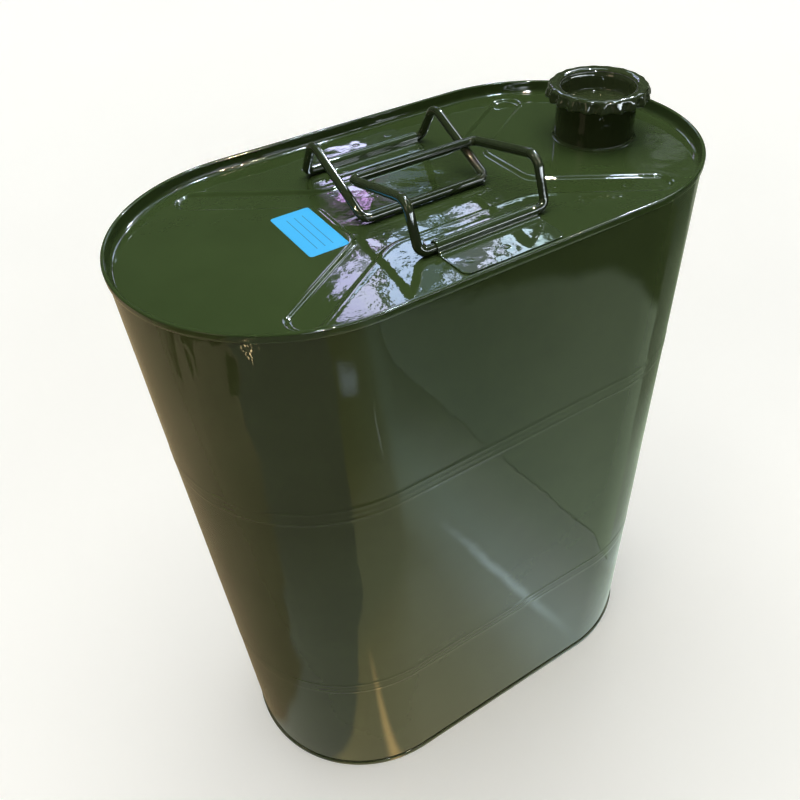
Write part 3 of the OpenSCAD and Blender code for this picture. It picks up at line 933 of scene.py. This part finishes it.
def area(name, loc, target, size, power, colour=(1, 1, 1), size_y=None, spread=180):
    l = bpy.data.lights.new(name, "AREA")
    l.energy = power
    l.color = colour
    l.shape = "RECTANGLE"
    l.size = size
    l.size_y = size_y or size
    l.spread = math.radians(spread)
    ob = bpy.data.objects.new(name, l)
    bpy.context.scene.collection.objects.link(ob)
    ob.location = loc
    d = Vector(target) - Vector(loc)
    ob.rotation_euler = d.to_track_quat("-Z", "Y").to_euler()
    return ob


overhead = area("overhead", (0.15, 0.3, 2.6), (0.1, 0.1, 0), 2.5, 72, (1.0, 0.985, 0.95))
overhead.visible_glossy = False
area("left_warm", (-1.5, -0.3, 1.0), (-0.2, -0.05, 0.15), 0.5, 1.3, (1.0, 0.78, 0.52))


def lamp(name, loc, power, radius, colour):
    """A small hard light that shows only as a glint in the gloss."""
    l = bpy.data.lights.new(name, "POINT")
    l.energy = power
    l.color = colour
    l.shadow_soft_size = radius
    ob = bpy.data.objects.new(name, l)
    bpy.context.scene.collection.objects.link(ob)
    ob.location = loc
    ob.visible_diffuse = ob.visible_camera = False
    return ob


for i, (x, y, z, power, radius, colour) in enumerate((
        (0.75, 0.15, 2.4, 60, 0.06, (0.72, 0.86, 1.0)),
        (1.9, 1.0, 2.2, 70, 0.08, (0.80, 0.90, 1.0)),
        (-0.3, -0.9, 2.4, 60, 0.05, (0.78, 0.88, 1.0)),
        (-1.5, -1.0, 2.3, 95, 0.02, (1.0, 0.78, 0.45)),
        (-0.6, -1.9, 2.2, 95, 0.02, (1.0, 0.80, 0.50)),
        (0.7, -1.6, 2.3, 95, 0.02, (1.0, 0.80, 0.50)),
        (1.6, -0.7, 2.4, 95, 0.02, (1.0, 0.84, 0.60)),
        (-1.4, 0.5, 2.4, 75, 0.02, (1.0, 0.80, 0.50)),
        (0.1, -0.35, 2.5, 75, 0.02, (1.0, 0.86, 0.66)))):
    lamp("lamp_%d" % i, (x, y, z), power, radius, colour)


# reflection cards: seen only in the gloss, as a photographer's flags are
def card(name, corners, colour_of, strength=1.0):
    me = bpy.data.meshes.new(name)
    me.from_pydata(corners, [], [tuple(range(len(corners)))])
    ob = bpy.data.objects.new(name, me)
    bpy.context.scene.collection.objects.link(ob)
    mat = bpy.data.materials.new(name)
    mat.use_nodes = True
    nt = mat.node_tree
    nt.nodes.remove(nt.nodes["Principled BSDF"])
    em = nt.nodes.new("ShaderNodeEmission")
    nt.links.new(em.outputs[0], nt.nodes["Material Output"].inputs["Surface"])
    co = nt.nodes.new("ShaderNodeTexCoord").outputs["Object"]
    sep = nt.nodes.new("ShaderNodeSeparateXYZ")
    nt.links.new(co, sep.inputs[0])
    nt.links.new(colour_of(nt, co, sep.outputs), em.inputs["Color"])
    em.inputs["Strength"].default_value = strength
    me.materials.append(mat)
    ob.visible_camera = ob.visible_diffuse = ob.visible_shadow = False
    ob.visible_transmission = ob.visible_volume_scatter = False
    return ob


def floor_reflection_colour(nt, co, xyz):
    # Painted reflection of the floor round the can, seen only in the gloss: bands and a fall-off of painted light and
    # shade, painted highlight streaks, spots and glints, and a painted shadow band.
    x, y = xyz["X"], xyz["Y"]
    wig = math_node(nt, "MULTIPLY", math_node(nt, "SUBTRACT", noise_tex(nt, co, 9.0, 2.0), 0.5), 0.05)
    xx = math_node(nt, "MULTIPLY_ADD", math_node(nt, "ADD", x, math_node(nt, "MULTIPLY", wig, 0.2)), 1.0, 0.5)
    at = lambda v: v + 0.5
    c = ramp(nt, xx, [(at(-0.17), (0.66, 0.57, 0.30)), (at(-0.10), (0.70, 0.65, 0.38)), (at(-0.03), (0.70, 0.70, 0.46)), (at(0.02), (0.75, 0.80, 0.60)),
                      (at(0.06), (0.86, 1.0, 0.88)), (at(0.09), (0.88, 1.06, 0.98)), (at(0.13), (0.76, 0.88, 0.80)), (at(0.16), (0.64, 0.76, 0.66)), (at(0.185), (0.58, 0.68, 0.58)), (at(0.20), (0.66, 0.78, 0.70)), (at(0.26), (0.47, 0.54, 0.45))])
    dist = math_node(nt, "SQRT", math_node(nt, "ADD", math_node(nt, "MULTIPLY", x, x), math_node(nt, "MULTIPLY", y, y)))
    fall = ramp(nt, dist, [(0.10, (0.85,) * 3), (0.20, (1.0,) * 3), (0.28, (0.98, 1.0, 0.96)), (0.37, (0.95, 1.0, 0.88)), (0.50, (0.50, 0.53, 0.42)), (0.80, (0.36, 0.40, 0.28)), (1.0, (0.18, 0.22, 0.13))])
    c = mix_color(nt, 1.0, c, fall, "MULTIPLY")
    shade = math_node(nt, "MULTIPLY", ease_node(nt, dist, 0.24, 0.30), ease_node(nt, x, 0.05, 0.0))
    near = ease_node(nt, dist, 0.46, 0.36)
    c = mix_color(nt, math_node(nt, "MULTIPLY", math_node(nt, "MULTIPLY", shade, near), 0.8), c, (0.54, 0.55, 0.35))
    # a warm painted highlight streak just left of the middle, near the can only
    sx = math_node(nt, "SUBTRACT", x, math_node(nt, "MULTIPLY", math_node(nt, "ADD", y, 0.131), 0.40))
    streak = math_node(nt, "MULTIPLY", inside(nt, sx, -0.1305, -0.1245, 0.007), ease_node(nt, y, -0.215, -0.125))
    streak = math_node(nt, "MULTIPLY", streak, ease_node(nt, y, -0.04, -0.07))
    c = mix_color(nt, streak, c, (2.9, 2.0, 0.80))
    # a pale painted highlight streak straight out from the can, and two soft painted highlight spots
    pale = math_node(nt, "MULTIPLY", inside(nt, math_node(nt, "SUBTRACT", x, math_node(nt, "MULTIPLY", y, 0.12)), 0.1005, 0.1075, 0.0065), inside(nt, y, -0.27, -0.15, 0.05))
    c = mix_color(nt, math_node(nt, "MULTIPLY", pale, 0.9), c, (1.85, 2.35, 2.40))
    spot = math_node(nt, "MULTIPLY", inside(nt, x, -0.190, -0.080, 0.03), inside(nt, y, -0.635, -0.590, 0.025))
    dash = math_node(nt, "MULTIPLY", inside(nt, x, -0.004, 0.004, 0.004), inside(nt, y, -0.53, -0.46, 0.02))
    # painted reflection of a warm floor to the left, with painted shade towards the can and far away
    line = math_node(nt, "ADD", math_node(nt, "SUBTRACT", y, math_node(nt, "MULTIPLY_ADD", x, 0.417, 0.057)), math_node(nt, "MULTIPLY", wig, 3.4))
    brown = ramp(nt, noise_tex(nt, co, 3.0, 3.0), [(0.3, (0.42, 0.32, 0.18)), (0.7, (0.62, 0.47, 0.28))])
    far = ramp(nt, dist, [(0.22, (0.42,) * 3), (0.35, (0.50,) * 3), (0.60, (0.82,) * 3), (0.85, (0.72,) * 3), (0.98, (0.36,) * 3)])
    brown = mix_color(nt, 1.0, brown, far, "MULTIPLY")
    # painted reflection of dark shapes where the warm floor ends, with a few painted gold glints between them
    ragged = math_node(nt, "ADD", dist, math_node(nt, "MULTIPLY", math_node(nt, "SUBTRACT", noise_tex(nt, co, 7.0, 2.0), 0.5), 0.60))
    brown = mix_color(nt, math_node(nt, "MULTIPLY", ease_node(nt, ragged, 0.765, 0.785), ease_node(nt, y, 0.32, 0.18)), brown, (0.14, 0.10, 0.03))
    glint = math_node(nt, "MULTIPLY", math_node(nt, "MULTIPLY", inside(nt, x, -0.72, -0.64, 0.012), inside(nt, y, -0.44, -0.33, 0.012)), ease_node(nt, noise_tex(nt, co, 70.0, 1.0), 0.60, 0.63))
    # left of a wavering edge: a painted shadow band, which the warm floor covers beyond its line
    edge = math_node(nt, "ADD", math_node(nt, "SUBTRACT", x, math_node(nt, "MULTIPLY", y, 0.17)), math_node(nt, "MULTIPLY", wig, 0.6))
    edge = math_node(nt, "ADD", edge, math_node(nt, "MULTIPLY", ease_node(nt, y, -0.27, -0.20), 0.030))
    left = ease_node(nt, edge, -0.117, -0.127)
    c = mix_color(nt, left, c, mix_color(nt, ease_node(nt, dist, 0.46, 0.30), (0.24, 0.21, 0.17), (0.30, 0.30, 0.24)))
    c = mix_color(nt, math_node(nt, "MULTIPLY", left, ease_node(nt, line, -0.012, 0.012)), c, brown)
    c = mix_color(nt, math_node(nt, "MULTIPLY", spot, 0.7), c, (1.3, 1.55, 1.7))
    c = mix_color(nt, math_node(nt, "MULTIPLY", dash, 0.5), c, (1.5, 1.7, 1.6))
    # behind the can the floor is even
    c = mix_color(nt, math_node(nt, "MULTIPLY", ease_node(nt, y, 0.13, 0.22), ease_node(nt, x, -0.22, -0.08)), c, (0.32, 0.36, 0.26))
    return mix_color(nt, glint, c, (12.0, 9.0, 4.5))


def side_card_reflection_colour(nt, co, xyz):
    # Painted reflection of a wall beside the can, seen only in the gloss: painted light low down and near the can,
    # painted shade up high.
    c = ramp(nt, xyz["Z"], [(0.0, (0.47, 0.62, 0.46)), (0.35, (0.25, 0.34, 0.20)), (0.9, (0.09, 0.12, 0.06))])
    near = ease_node(nt, xyz["Y"], -0.42, -0.20)
    c = mix_color(nt, math_node(nt, "MULTIPLY", near, 0.38), c, (0.85, 1.05, 0.72))
    # it ends in the dark along a line that climbs towards the can
    top = math_node(nt, "MINIMUM", math_node(nt, "MULTIPLY_ADD", xyz["Y"], 0.63, 0.4555), 0.318)
    c = mix_color(nt, ease_node(nt, math_node(nt, "SUBTRACT", xyz["Z"], top), -0.009, 0.009), c, (0.09, 0.13, 0.04))
    # painted shade along its foot
    foot = ease_node(nt, xyz["Z"], 0.005, 0.003)
    return mix_color(nt, math_node(nt, "MULTIPLY", foot, 0.55), c, (0.10, 0.12, 0.09))


def ease_node(nt, v, lo, hi):
    """0 at lo, 1 at hi, smooth between."""
    n = nt.nodes.new("ShaderNodeMapRange")
    n.interpolation_type = "SMOOTHSTEP"
    if hi < lo:
        v = math_node(nt, "MULTIPLY", v, -1.0)
        lo, hi = -lo, -hi
    nt.links.new(v, n.inputs["Value"])
    n.inputs["From Min"].default_value = lo
    n.inputs["From Max"].default_value = hi
    return n.outputs["Result"]


def inside(nt, v, lo, hi, soft):
    return math_node(nt, "MULTIPLY", ease_node(nt, v, lo - soft, lo + soft), ease_node(nt, v, hi + soft, hi - soft))


def window_colour(nt, co, xyz):
    """Shop windows seen in the panel's gloss: broken patches, rosy at the left, blue and lavender beyond."""
    x, z = xyz["X"], xyz["Z"]
    n = math_node(nt, "ADD", math_node(nt, "MULTIPLY", noise_tex(nt, co, 5.5, 1.0), 0.6), math_node(nt, "MULTIPLY", noise_tex(nt, co, 17.0, 2.0), 0.4))
    patch = ease_node(nt, n, 0.465, 0.515)
    area_ = math_node(nt, "MULTIPLY", inside(nt, x, 0.66, 1.56, 0.03), inside(nt, z, 1.20, 1.84, 0.03))
    # the panes' bars
    for v, at_, w in ((x, 0.835, 0.014), (x, 1.075, 0.014), (x, 1.325, 0.012), (z, 1.435, 0.030)):
        bar = math_node(nt, "SUBTRACT", 1.0, inside(nt, v, at_ - w, at_ + w, 0.006))
        area_ = math_node(nt, "MULTIPLY", area_, bar)
    # the far top corner opens late
    late = ease_node(nt, math_node(nt, "SUBTRACT", z, math_node(nt, "MULTIPLY", x, 0.75)), 0.58, 0.66)
    area_ = math_node(nt, "MULTIPLY", area_, late)
    xx = math_node(nt, "SUBTRACT", x, 0.62)
    c = ramp(nt, xx, [(0.06, (0.52, 0.48, 0.95)), (0.20, (0.60, 0.62, 1.0)), (0.25, (0.42, 0.60, 1.0)), (0.45, (0.40, 0.62, 0.95)), (0.62, (0.66, 0.64, 1.0)), (0.75, (0.45, 0.66, 0.85)), (0.9, (0.38, 0.60, 0.65))])
    c = mix_color(nt, math_node(nt, "MULTIPLY", noise_tex(nt, co, 9.0, 1.0), 0.5), c, (0.9, 0.92, 1.0))
    rosy = math_node(nt, "MULTIPLY", ease_node(nt, x, 0.90, 0.86), inside(nt, z, 1.30, 1.47, 0.03))
    c = mix_color(nt, math_node(nt, "MULTIPLY", rosy, 0.75), c, (0.72, 0.30, 0.95))
    k = math_node(nt, "MULTIPLY", area_, math_node(nt, "MULTIPLY_ADD", patch, 0.92, 0.08))
    glow = math_node(nt, "MULTIPLY", math_node(nt, "MULTIPLY", inside(nt, x, 2.02, 2.20, 0.06), inside(nt, z, 1.50, 1.62, 0.05)), 0.035)
    c = mix_color(nt, k, (0.006, 0.008, 0.006), c)
    return mix_color(nt, glow, c, (0.9, 1.0, 1.0))


def ceiling_colour(nt, co, xyz):
    """Two light tubes and a skylight."""
    x, y = xyz["X"], xyz["Y"]
    tubes = math_node(nt, "ADD", inside(nt, y, 0.10, 0.17, 0.006), inside(nt, y, 0.56, 0.64, 0.006))
    tubes = math_node(nt, "MULTIPLY", tubes, inside(nt, x, 0.35, 3.2, 0.01))
    sky = math_node(nt, "MULTIPLY", inside(nt, x, 1.75, 2.7, 0.05), inside(nt, y, 0.70, 1.45, 0.05))
    c = mix_color(nt, tubes, (0.002, 0.0025, 0.0015), (0.74, 0.88, 1.02))
    c = mix_color(nt, math_node(nt, "MULTIPLY", sky, 0.5), c, (0.85, 0.90, 1.0))
    return c


def front_colour(nt, co, xyz):
    """A low row of lights: thin bright lines on the wires, saddles and rim."""
    row = ramp(nt, noise_tex(nt, co, 2.2, 1.0), [(0.40, (0.35, 0.40, 0.44)), (0.55, (0.95, 1.05, 1.12))])
    ends = math_node(nt, "MULTIPLY", inside(nt, xyz["Z"], 0.90, 1.25, 0.04), inside(nt, xyz["X"], -1.3, 3.4, 0.1))
    return mix_color(nt, ends, (0.0, 0.0, 0.0), row)


card("card_windows", [(0.5, 1.6, 1.05), (2.4, 1.6, 1.05), (2.4, 1.6, 2.0), (0.5, 1.6, 2.0)], window_colour, 9.0)
card("card_ceiling", [(-2.2, -2.6, 2.55), (3.2, -2.6, 2.55), (3.2, 2.0, 2.55), (-2.2, 2.0, 2.55)], ceiling_colour, 14.0)
card("card_floor_reflection", [(-3, -3, 0.0006), (3, -3, 0.0006), (3, 3, 0.0006), (-3, 3, 0.0006)], floor_reflection_colour, 1.12)
card("card_side", [(0.199, -0.115, 0.001), (0.077, -1.6, 0.001), (0.077, -1.6, 0.40), (0.199, -0.115, 0.40)], side_card_reflection_colour)
card("card_front", [(-1.5, -2.6, 0.85), (3.6, -2.6, 0.85), (3.6, -2.6, 1.30), (-1.5, -2.6, 1.30)], front_colour, 14.0)

# camera: solved from the photograph's perspective
az, el, roll = math.radians(-32.1966), math.radians(45.2055), math.radians(-2.3944)
back = Vector((math.sin(az) * math.cos(el), -math.cos(az) * math.cos(el), math.sin(el)))
fwd = -back
right = fwd.cross(Vector((0, 0, 1))).normalized()
up = right.cross(fwd).normalized()
r2 = math.cos(roll) * right + math.sin(roll) * up
u2 = -math.sin(roll) * right + math.cos(roll) * up
loc = Vector((0, 0, RIM_Z / 2)) + back * 0.62464
cam = bpy.data.cameras.new("camera")
cam.lens = 35.54
cam.sensor_width = 36
cam.sensor_fit = "HORIZONTAL"
cam.shift_x = -0.0447
cam.shift_y = 0.0686
cam.clip_start = 0.01
cam.clip_end = 50
cam.dof.use_dof = False
cam_ob = bpy.data.objects.new("camera", cam)
bpy.context.scene.collection.objects.link(cam_ob)
m = Matrix((r2, u2, back)).transposed().to_4x4()
m.translation = loc
cam_ob.matrix_world = m
bpy.context.scene.camera = cam_ob
